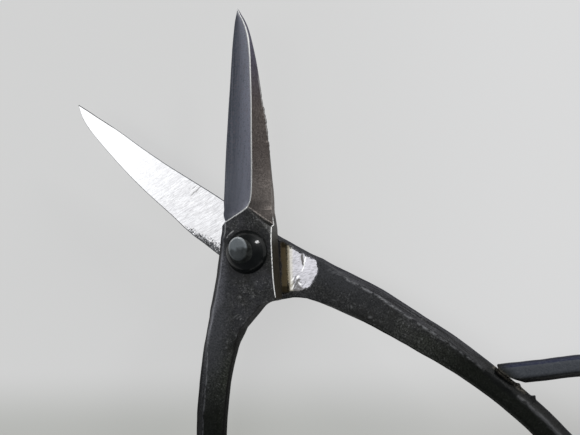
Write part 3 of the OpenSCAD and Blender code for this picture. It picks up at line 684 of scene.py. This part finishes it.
    # brown spine facet
    fn = g.noise(g.along(lev, 90, (0.7, 1.0, 1.0)), 2.2, 4, 0.65)
    facet_c = g.mixc(g.ramp(fn, 0.28, 0.72), (0.054, 0.0455, 0.0420), (0.106, 0.091, 0.084))
    facet_c = g.mixc(g.ramp(along, 34.0, 54.0), facet_c, g.mixc(g.ramp(fn, 0.3, 0.7), (0.048, 0.0445, 0.066), (0.112, 0.105, 0.152)))
    facet_c = g.mixc(g.ramp(along, 26.0, 12.0, 0, 0.8), facet_c, g.mixc(g.ramp(fn, 0.28, 0.72), (0.138, 0.121, 0.110), (0.222, 0.195, 0.178)))
    # ground outer bevel with lengthwise grind lines, darker towards the cutting edge and lighter towards the ridge:
    # painted shading across the bevel
    s1 = g.noise(g.along(lev, 85, (0.05, 5.0, 1.0)), 1.0, 6, 0.65)
    s2 = g.noise(g.along(lev, 80, (0.10, 0.8, 0.2), (5, 1, 0)), 1.0, 4, 0.55)
    bevel_c = g.mixc(g.ramp(share, 0.05, 0.85), (0.098, 0.112, 0.134), (0.440, 0.452, 0.545))
    bevel_c = g.mixc(g.ramp(s1, 0.35, 0.75, 0, 0.62), bevel_c, (0.50, 0.51, 0.60))
    bevel_c = g.mixc(g.ramp(s2, 0.45, 0.70, 0, 0.40), bevel_c, (0.17, 0.185, 0.215))
    bevel_c = g.mixc(g.math('MULTIPLY', g.ramp(share, 0.25, 1.0), g.ramp(along, 26.0, 52.0, 0, 0.60)), bevel_c, (0.80, 0.81, 0.92))
    s3 = g.noise(g.mapping(lev, loc=(2, 7, 3)), 1.9, 4, 0.65)
    bevel_c = g.mixc(g.ramp(s3, 0.50, 0.66, 0, 0.60), bevel_c, (0.36, 0.31, 0.345))
    bevel_c = g.mixc(g.ramp(s3, 0.48, 0.34, 0, 0.55), bevel_c, (0.15, 0.165, 0.185))
    bevel_c = g.mixc(g.ramp(along, 32.0, 14.0, 0, 0.30), bevel_c, (0.52, 0.53, 0.60))
    # polished inner flat: slanting grind scratches, cleaner towards the tip
    k1 = g.noise(g.along(lev, 21, (0.42, 3.4, 0.2)), 1.0, 6, 0.70)
    k2 = g.noise(g.along(lev, 16, (0.55, 2.6, 0.3), (3, 9, 1)), 1.0, 5, 0.66)
    k4 = g.noise(g.along(lev, 21, (0.6, 1.3, 1.0), (1, 6, 2)), 2.2, 3, 0.6)
    worn = g.ramp(along, 53.0, 8.0)
    flat_c = g.mixc(g.math('MULTIPLY', g.ramp(k1, 0.66, 0.34), g.mixf(worn, 0.18, 0.55)), (0.93, 0.93, 0.935), (0.66, 0.66, 0.68))
    flat_c = g.mixc(g.math('MULTIPLY', g.ramp(k4, 0.50, 0.70), g.math('MULTIPLY', worn, 0.75)), flat_c, (0.36, 0.35, 0.34))
    flat_c = g.mixc(g.math('MULTIPLY', g.math('MULTIPLY', g.ramp(k3, 0.42, 0.66), worn), 0.42), flat_c, (0.52, 0.515, 0.55))
    flat_c = g.mixc(g.math('MULTIPLY', worn, 0.75), flat_c, g.mixc(g.ramp(k1, 0.36, 0.64), (0.47, 0.465, 0.477), (0.73, 0.73, 0.745)))
    flat_c = g.mixc(g.math('MULTIPLY', g.ramp(along, 6.0, -4.0), 0.85), flat_c, (0.31, 0.305, 0.325))
    k5 = g.noise(g.along(lev, 34, (0.8, 4.2, 0.3), (7, 2, 3)), 1.3, 4, 0.65)
    k6 = g.math('ADD', g.math('MULTIPLY', k5, 0.7), g.math('MULTIPLY', k3, 0.3))
    flat_c = g.mixc(g.math('MULTIPLY', g.ramp(k6, 0.40, 0.60), g.ramp(along, 6.0, -4.0, 0, 0.85)), flat_c, (0.63, 0.62, 0.665))
    scr = g.math('MULTIPLY', g.ramp(k2, 0.62, 0.72), g.mixf(worn, 0.1, 0.75))
    flat_c = g.mixc(scr, flat_c, (0.26, 0.255, 0.255))

    painted_reflection_strip = 0.0
    if rear:
        mark = stroke(-8.0, -10.6, -5.8, -12.6, 0.28, 0.92)
        for x0, y0, x1, y1, half, amount in (
                (-2.9, -13.0, 0.2, -13.6, 0.20, 0.72), (-2.4, -14.3, 0.2, -14.2, 0.30, 0.85),
                (-1.5, -15.2, 0.1, -14.9, 0.34, 0.75), (-2.3, -16.6, -0.6, -15.9, 0.30, 0.85),
                (-2.9, -14.1, -1.7, -14.0, 0.22, 0.9), (-1.6, -13.7, 0.2, -13.2, 0.22, 0.8), (-1.5, -16.3, -0.8, -14.4, 0.42, 0.85),
                (-1.3, -16.8, 1.1, -14.3, 0.60, 0.92), (-2.6, -14.8, -1.4, -14.7, 0.14, 0.7), (-2.5, -13.1, -2.5, -12.9, 0.18, 0.7),
                (-2.5, -12.2, -0.5, -12.8, 0.12, 0.40), (-3.4, -15.6, -1.6, -15.6, 0.12, 0.5),
                (-4.5, 20.9, -2.5, 21.4, 0.15, 0.65), (-3.5, 21.2, -1.0, 21.9, 0.13, 0.6), (-3.9, 22.2, -2.6, 22.6, 0.10, 0.45)):
            mark = g.math('MAXIMUM', mark, stroke(x0, y0, x1, y1, half, amount))
        flat_c = g.mixc(mark, flat_c, (0.085, 0.080, 0.075))
        flat_c = g.mixc(stroke(-8.1, -11.6, -4.7, -13.2, 0.12, 0.8), flat_c, (0.97, 0.97, 0.95))
        for st in ((-2.0, -12.8, -1.0, -12.5, 0.2, 0.8), (-3.3, -13.4, -2.5, -13.4, 0.22, 0.9), (-0.7, -13.8, 0.4, -14.1, 0.14, 0.7), (-1.9, -15.2, -1.9, -14.2, 0.2, 0.7)):
            flat_c = g.mixc(stroke(*st, wave=0.8), flat_c, (0.95, 0.95, 0.96))
        painted_reflection_strip = stroke(-7.25, -5.05, 2.2, -13.1, 0.72, 0.9)       # brown strip where the other neck sweeps past: painted reflection of the front neck's side face, with painted shade beside it
        # a wider tan stroke and a darker core stroke of the same painted reflection and shade, then dark patches at the
        # strip's ends
        flat_c = g.mixc(stroke(-8.10, -6.15, 1.40, -14.20, 0.85, 0.50, wave=0.9), flat_c, (0.56, 0.53, 0.42))
        flat_c = g.mixc(stroke(-7.90, -5.90, 1.60, -13.95, 0.46, 0.78, wave=0.6), flat_c, (0.185, 0.156, 0.100))
        flat_c = g.mixc(painted_reflection_strip, flat_c, (0.46, 0.345, 0.17))
        flat_c = g.mixc(g.math('MAXIMUM', stroke(-8.2, -4.6, -6.4, -6.1, 0.75, 0.75), stroke(0.9, -12.2, 2.6, -13.6, 0.75, 0.70)), flat_c, (0.030, 0.027, 0.018))
        flat_c = g.mixc(g.math('MULTIPLY', g.ramp(smudge, 0.0, 0.30), g.ramp(n5, 0.47, 0.62, 0, 0.40)), flat_c, (0.40, 0.38, 0.36))

    # where the ground flat stops, ragged; dirt along its spine edge
    edge_n = g.noise(g.mapping(lev, scale=(1.2, 1.2, 1.2), loc=(4, 4, 4)), 0.8, 5, 0.60)
    lim = g.math('ADD', g.math('MULTIPLY', g.math('SUBTRACT', flat, 0.5), 4.0), g.math('MULTIPLY', g.math('SUBTRACT', edge_n, 0.5), 1.2))
    flat_m = g.ramp(lim, -0.25, 0.35)
    dirt = g.ramp(g.math('ADD', smudge, g.math('MULTIPLY', g.math('SUBTRACT', edge_n, 0.5), 1.3)), 0.45, 0.95)
    dirt = g.math('MULTIPLY', g.math('MAXIMUM', dirt, g.math('MULTIPLY', g.ramp(smudge, 0.10, 0.6), g.ramp(n2, 0.55, 0.68))), g.ramp(smudge, 0.02, 0.2))
    flat_m = g.math('MULTIPLY', flat_m, g.math('SUBTRACT', 1.0, g.math('MULTIPLY', dirt, g.ramp(n2, 0.42, 0.62, 0.45, 0.92))))

    col = g.mixc(facet, scale_c, facet_c)
    col = g.mixc(bevel, col, bevel_c)
    col = g.mixc(flat_m, col, flat_c)
    met = g.mixf(facet, scale_m, 0.8)
    met = g.math('MAXIMUM', met, bevel)
    met = g.math('MAXIMUM', met, g.math('MULTIPLY', flat_m, g.math('SUBTRACT', 1.0, g.math('MULTIPLY', painted_reflection_strip, 0.45))))
    rgh = g.mixf(facet, scale_r, 0.48)
    rgh = g.mixf(bevel, rgh, g.mixf(s1, 0.34, 0.44))
    rgh = g.mixf(flat_m, rgh, g.mixf(k1, 0.11, 0.05))
    # painted highlights: bright white lines on the ridge, plunge and neck edge, broken by noise
    wn = g.noise(lev, 1.8, 4, 0.6)
    highlight_line = g.math('MAXIMUM', ridge_highlight, g.math('MULTIPLY', stop_highlight, g.ramp(wn, 0.22, 0.5)))
    highlight_line = g.math('MAXIMUM', highlight_line, g.math('MULTIPLY', nedge_highlight, g.ramp(wn, 0.28, 0.46)))
    highlight_line = g.ramp(highlight_line, 0.25, 0.75)
    col = g.mixc(highlight_line, col, (0.97, 0.97, 0.95))
    met = g.math('MULTIPLY', met, g.math('SUBTRACT', 1.0, highlight_line))
    rgh = g.mixf(highlight_line, rgh, 0.34)

    g.put(g.bsdf.inputs["Base Color"], col)
    g.put(g.bsdf.inputs["Metallic"], met)
    g.put(g.bsdf.inputs["Roughness"], rgh)
    g.put(g.bsdf.inputs["Specular IOR Level"], g.mixf(g.math('MAXIMUM', g.math('MAXIMUM', wall_shade, shade), g.math('MAXIMUM', g.math('MULTIPLY', chamf, 0.65), g.math('MULTIPLY', dull, 0.7))), 0.30, 0.03))
    rough_skin = g.math('SUBTRACT', 1.0, g.math('MAXIMUM', g.math('MAXIMUM', bevel, flat_m), g.math('MULTIPLY', facet, 0.6)))
    h = g.math('MULTIPLY', g.math('ADD', g.math('MULTIPLY', n1, 0.8), g.math('MULTIPLY', n2, 0.6)), rough_skin)
    b1 = g.bump(h, 0.00022, 0.9)
    h2 = g.math('ADD', g.math('MULTIPLY', g.math('MULTIPLY', k1, flat_m), 1.0), g.math('MULTIPLY', g.math('MULTIPLY', s1, bevel), 0.6))
    b2 = g.bump(h2, 0.000012, 0.9, b1)
    g.put(g.bsdf.inputs["Normal"], b2)
    return g.mat


def washer_material():
    g = Graph("blued_steel")
    tc = g.t.nodes.new("ShaderNodeTexCoord")
    pos = g.mapping(tc.outputs["Object"], scale=(1000, 1000, 1000))
    n1 = g.noise(pos, 0.7, 5, 0.6)
    n2 = g.noise(pos, 3.0, 4, 0.6)
    g.put(g.bsdf.inputs["Base Color"], g.mixc(g.ramp(n1, 0.35, 0.7), (0.0030, 0.0038, 0.0036), (0.0068, 0.0080, 0.0078)))
    g.put(g.bsdf.inputs["Roughness"], g.mixf(n2, 0.42, 0.56))
    g.bsdf.inputs["Coat Weight"].default_value = 0.42
    g.put(g.bsdf.inputs["Coat Roughness"], g.mixf(n2, 0.08, 0.13))
    g.bsdf.inputs["Metallic"].default_value = 0.0
    g.bsdf.inputs["Specular IOR Level"].default_value = 0.10
    g.put(g.bsdf.inputs["Normal"], g.bump(g.math('ADD', n1, g.math('MULTIPLY', n2, 0.4)), 0.00005, 0.4))
    return g.mat


def rivet_material():
    g = Graph("rivet_steel")
    tc = g.t.nodes.new("ShaderNodeTexCoord")
    pos = g.mapping(tc.outputs["Object"], scale=(1000, 1000, 1000))
    n1 = g.noise(pos, 0.9, 5, 0.6)
    n2 = g.noise(pos, 4.0, 4, 0.6)
    rim = g.attr("rim", "Fac")
    col = g.mixc(g.ramp(n1, 0.35, 0.68), (0.016, 0.017, 0.0155), (0.046, 0.049, 0.046))
    # painted light on the peened top and painted highlight on its upper-left rim
    col = g.mixc(g.math('MULTIPLY', g.attr("lit", "Fac"), 0.92), col, g.mixc(n2, (0.205, 0.228, 0.242), (0.400, 0.438, 0.460)))
    col = g.mixc(g.math('MULTIPLY', rim, g.ramp(n2, 0.3, 0.6)), col, (0.85, 0.87, 0.88))
    g.put(g.bsdf.inputs["Base Color"], col)
    g.put(g.bsdf.inputs["Roughness"], g.mixf(n2, 0.50, 0.66))
    g.bsdf.inputs["Metallic"].default_value = 0.1
    g.put(g.bsdf.inputs["Specular IOR Level"], g.mixf(g.ramp(g.attr("lit", "Fac"), 0.02, 0.25), 0.03, 0.2))
    g.put(g.bsdf.inputs["Normal"], g.bump(g.math('ADD', n1, g.math('MULTIPLY', n2, 0.5)), 0.00012, 0.7))
    return g.mat


# ------------------------------------------------------------------- levers
mat_lever = {"front": lever_material("forged_steel", False), "rear": lever_material("forged_steel_rear", True)}


def make_lever(name, body, node, tables, seed, placer):
    v, m, faces = build_lever(*tables, seed, nick=(name == "front_forging"))
    # bore for the rivet is hidden under the washers and stays in the CAD solid
    smudge = (m[:, 0] > 0.9) * smoothstep(1.8 + 0.25 * np.maximum(v[:, 1] - 6, 0), 6.2, v[:, 0]) * smoothstep(3, 5, v[:, 1]) * smoothstep(21, 12, v[:, 1])
    local = v.copy()
    v, nrm = forge(v, m, faces, seed)
    # mask of the steep side walls, which the material darkens as painted shade
    wall_shade = 1 - smoothstep(0.26, 0.66, np.abs(nrm[:, 2]))
    ob = add_mesh(name, placer(v), faces)
    add_vector(ob, "lev", local + np.array([seed * 31.0, 0, seed * 7.0]) * np.array([0, 0, 1.0]))
    add_colour(ob, "ground", m[:, 0:3])
    add_colour(ob, "highlight_lines", m[:, 3:6])
    add_colour(ob, "wear", np.column_stack([m[:, 6], m[:, 7], smudge]))
    add_colour(ob, "place", np.column_stack([m[:, 8], m[:, 9], wall_shade]))
    ob.data.materials.append(mat_lever[body])
    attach(ob, body)
    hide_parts(node)
    return ob


front = make_lever("front_forging", "front", "front_lever", (FRONT_STATIONS, FRONT_NECK, FRONT_HEEL, FRONT_SHANK), 1.3, place_front)
rear = make_lever("rear_forging", "rear", "rear_lever", (REAR_STATIONS, REAR_NECK, REAR_HEEL, REAR_SHANK), 4.7, place_rear)


# -------------------------------------------------------- rivet and washers
def dome_profile(d, h, top_d, lip):
    """Half section of a domed washer from the rim of its base up to the flat on top."""
    drop = ((d * d - top_d * top_d) / 4 - h * h) / (2 * h)
    rad = math.sqrt(d * d / 4 + drop * drop)
    a0, a1 = math.asin(drop / rad), math.asin((h + drop) / rad)
    pts = [(2.27, 0.0), (d / 2 - 0.25, 0.0), (d / 2 - 0.07, 0.06)]
    for t in np.linspace(0.05, 1, 22):
        a = a0 + (a1 - a0) * t
        pts.append((rad * math.cos(a), rad * math.sin(a) - drop))
    pts += [(top_d / 2 - 0.12, h), (2.27, h)]
    return pts


def ring_mesh(name, profile, flip, z0, mat, n=96, wob=0.0, seed=0.0):
    prof = np.asarray(profile, float)
    k = len(prof)
    v = []
    for r, z in prof:
        for j in range(n):
            an = 2 * math.pi * j / n
            rr = r + (wob * noise.noise(Vector((math.cos(an), math.sin(an), z * 0.4 + seed))) if r > 3 else 0)
            v.append((rr * math.cos(an), rr * math.sin(an), -z if flip else z))
    faces = []
    for i in range(k):
        i2 = (i + 1) % k
        for j in range(n):
            j2 = (j + 1) % n
            f = (i * n + j, i * n + j2, i2 * n + j2, i2 * n + j)
            faces.append(f[::-1] if flip else f)
    v = (np.array(v) + np.array([0, 0, z0])) * MM
    ob = add_mesh(name, v, faces)
    ob.data.materials.append(mat)
    return ob


mat_washer = washer_material()
mat_rivet = rivet_material()
fw = ring_mesh("domed_washer", dome_profile(10.8, WASHER_H, 5.3, 0.1), False, Z_FRONT_OUT, mat_washer, wob=0.06, seed=2.0)
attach(fw, "front"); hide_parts("front_washer")
rw = ring_mesh("back_washer", dome_profile(10.2, 1.5, 7.6, 0.1), True, 2.7, mat_washer, wob=0.05, seed=5.0)
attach(rw, "front"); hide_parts("rear_washer")


def rivet():
    zt = Z_FRONT_OUT + WASHER_H
    prof = [(2.75, 0.0), (2.9, 0.04), (3.1, 0.25), (3.35, 0.7), (3.48, 1.05), (3.48, 1.19), (2.25, 1.2)]
    prof += [(2.25, z) for z in (4.0, 8.0, 12.0, zt - 0.03)]
    prof += [(2.98, zt), (2.96, zt + 0.10), (2.90, zt + 0.30), (2.78, zt + 0.55), (2.62, zt + 0.78), (2.38, zt + 0.93),
             (2.15, zt + 0.99), (1.9, zt + 1.03), (1.55, zt + 1.06), (1.2, zt + 1.08), (0.85, zt + 1.09), (0.5, zt + 1.10)]
    n = 96
    v, rim, lit = [], [], []
    for r, z in prof:
        for j in range(n):
            an = 2 * math.pi * j / n
            top = max(0.0, min(1.0, (z - zt) / 0.2)) if z > zt - 0.02 else 0.0
            k = noise.noise(Vector((math.cos(an) * 1.1, math.sin(an) * 1.1, 3.1)))
            k2 = noise.noise(Vector((r * math.cos(an) * 0.9, r * math.sin(an) * 0.9, 8.0)))
            px, py = r * (1 + 0.03 * k * top) * math.cos(an), r * (1 + 0.03 * k * top) * math.sin(an)
            if z > zt - 0.02:                     # hammered over a little off centre and out of round
                e = 0.3 + 0.7 * float(smoothstep(zt, zt + 0.75, z))
                px, py = px * (1 - 0.14 * e) - 0.85 * e, py * (1 + 0.06 * e) + 0.92 * e
            v.append((px, py, z - 0.10 * top * max(0, k2)))
            # rim: painted highlight on the upper-left rim of the peened top; lit: painted light on its top face,
            # lighter towards the upper left
            side = 0.5 + 0.5 * math.cos(an - math.radians(128))
            rim.append(side ** 3 if (z > zt + 0.6 and 2.3 < r < 2.7) else 0.0)
            step = float(smoothstep(0.50, 1.25, py + 0.7 * k2 - 0.12 * px))
            lit.append(max(0.0, min(1.0, 0.19 - 0.02 * (py - 0.92) + 0.66 * step - 0.05 * (px + 0.85))) if z > zt + 0.7 else 0.0)
    faces = []
    for i in range(len(prof) - 1):
        for j in range(n):
            j2 = (j + 1) % n
            faces.append((i * n + j, i * n + j2, (i + 1) * n + j2, (i + 1) * n + j))
    c0, c1 = len(v), len(v) + 1
    v += [(0, 0, 0), (-0.85, 0.92, zt + 1.095)]
    rim += [0.0, 0.0]
    lit += [0.0, 0.4]
    faces += [(c0, (j + 1) % n, j) for j in range(n)]
    b = (len(prof) - 1) * n
    faces += [(c1, b + j, b + (j + 1) % n) for j in range(n)]
    ob = add_mesh("rivet", np.array(v) * MM, faces)
    at = ob.data.attributes.new("rim", 'FLOAT', 'POINT')
    at.data.foreach_set("value", np.array(rim, np.float32))
    at = ob.data.attributes.new("lit", 'FLOAT', 'POINT')
    at.data.foreach_set("value", np.array(lit, np.float32))
    ob.data.materials.append(mat_rivet)
    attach(ob, "front"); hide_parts("pivot_rivet")
    return ob


rv = rivet()

# ------------------------------------------------------------- floor, light
bpy.ops.mesh.primitive_plane_add(size=8, location=(0, 0, 0))
floor = bpy.context.object
floor.name = "floor"
g = Graph("floor")
tc = g.t.nodes.new("ShaderNodeTexCoord")
fn = g.noise(tc.outputs["Object"], 3.0, 3, 0.5)
fcol = g.mixc(fn, (0.22, 0.22, 0.215), (0.25, 0.25, 0.245))
g.put(g.bsdf.inputs["Base Color"], fcol)
g.bsdf.inputs["Roughness"].default_value = 0.9
g.bsdf.inputs["Specular IOR Level"].default_value = 0.1
sx = g.t.nodes.new("ShaderNodeSeparateXYZ")
g.link(tc.outputs["Object"], sx.inputs[0])
vl = g.t.nodes.new("ShaderNodeVectorMath")
vl.operation = 'LENGTH'
g.link(tc.outputs["Object"], vl.inputs[0])
# the floor glows: painted light, a darker band towards the bottom, brighter to the right, dim far from the scissors; it
# also washes out the cast shadows
painted_floor_light = g.mixc(g.ramp(sx.outputs[1], -0.047, -0.028), (0.378, 0.383, 0.365), (0.541, 0.541, 0.539))
painted_floor_light = g.mixc(g.ramp(sx.outputs[0], 0.0, 0.08), painted_floor_light, g.mixc(g.ramp(sx.outputs[1], -0.050, -0.026), (0.432, 0.432, 0.422), (0.588, 0.588, 0.590)))
painted_floor_light = g.mixc(g.ramp(sx.outputs[1], -0.054, -0.15), painted_floor_light, (0.52, 0.52, 0.518))
painted_floor_light = g.mixc(g.ramp(vl.outputs["Value"], 0.16, 0.40), painted_floor_light, (0.06, 0.06, 0.065))
g.put(g.bsdf.inputs["Emission Color"], painted_floor_light)
g.bsdf.inputs["Emission Strength"].default_value = 1.0
floor.data.materials.append(g.mat)

world = bpy.data.worlds.new("studio")
bpy.context.scene.world = world
world.use_nodes = True
world.node_tree.nodes["Background"].inputs[0].default_value = (0.86, 0.92, 1.0, 1)
world.node_tree.nodes["Background"].inputs[1].default_value = 0.17


def area(name, loc, target, sx, sy, power, colour=(1, 1, 1)):
    d = bpy.data.lights.new(name, 'AREA')
    d.shape = 'RECTANGLE'
    d.size, d.size_y = sx, sy
    d.energy = power
    d.color = colour
    ob = bpy.data.objects.new(name, d)
    ob.location = loc
    ob.rotation_euler = (Vector(target) - Vector(loc)).to_track_quat('-Z', 'Y').to_euler()
    bpy.context.scene.collection.objects.link(ob)
    return ob


area("softbox", (-0.36, 0.05, 0.80), (0, 0, 0), 0.50, 0.9, 1.6)
area("low_window", (0.42, 0.41, 0.12), (0, 0, 0.01), 0.10, 0.19, 2.3)

bpy.context.scene.view_settings.view_transform = 'Standard'
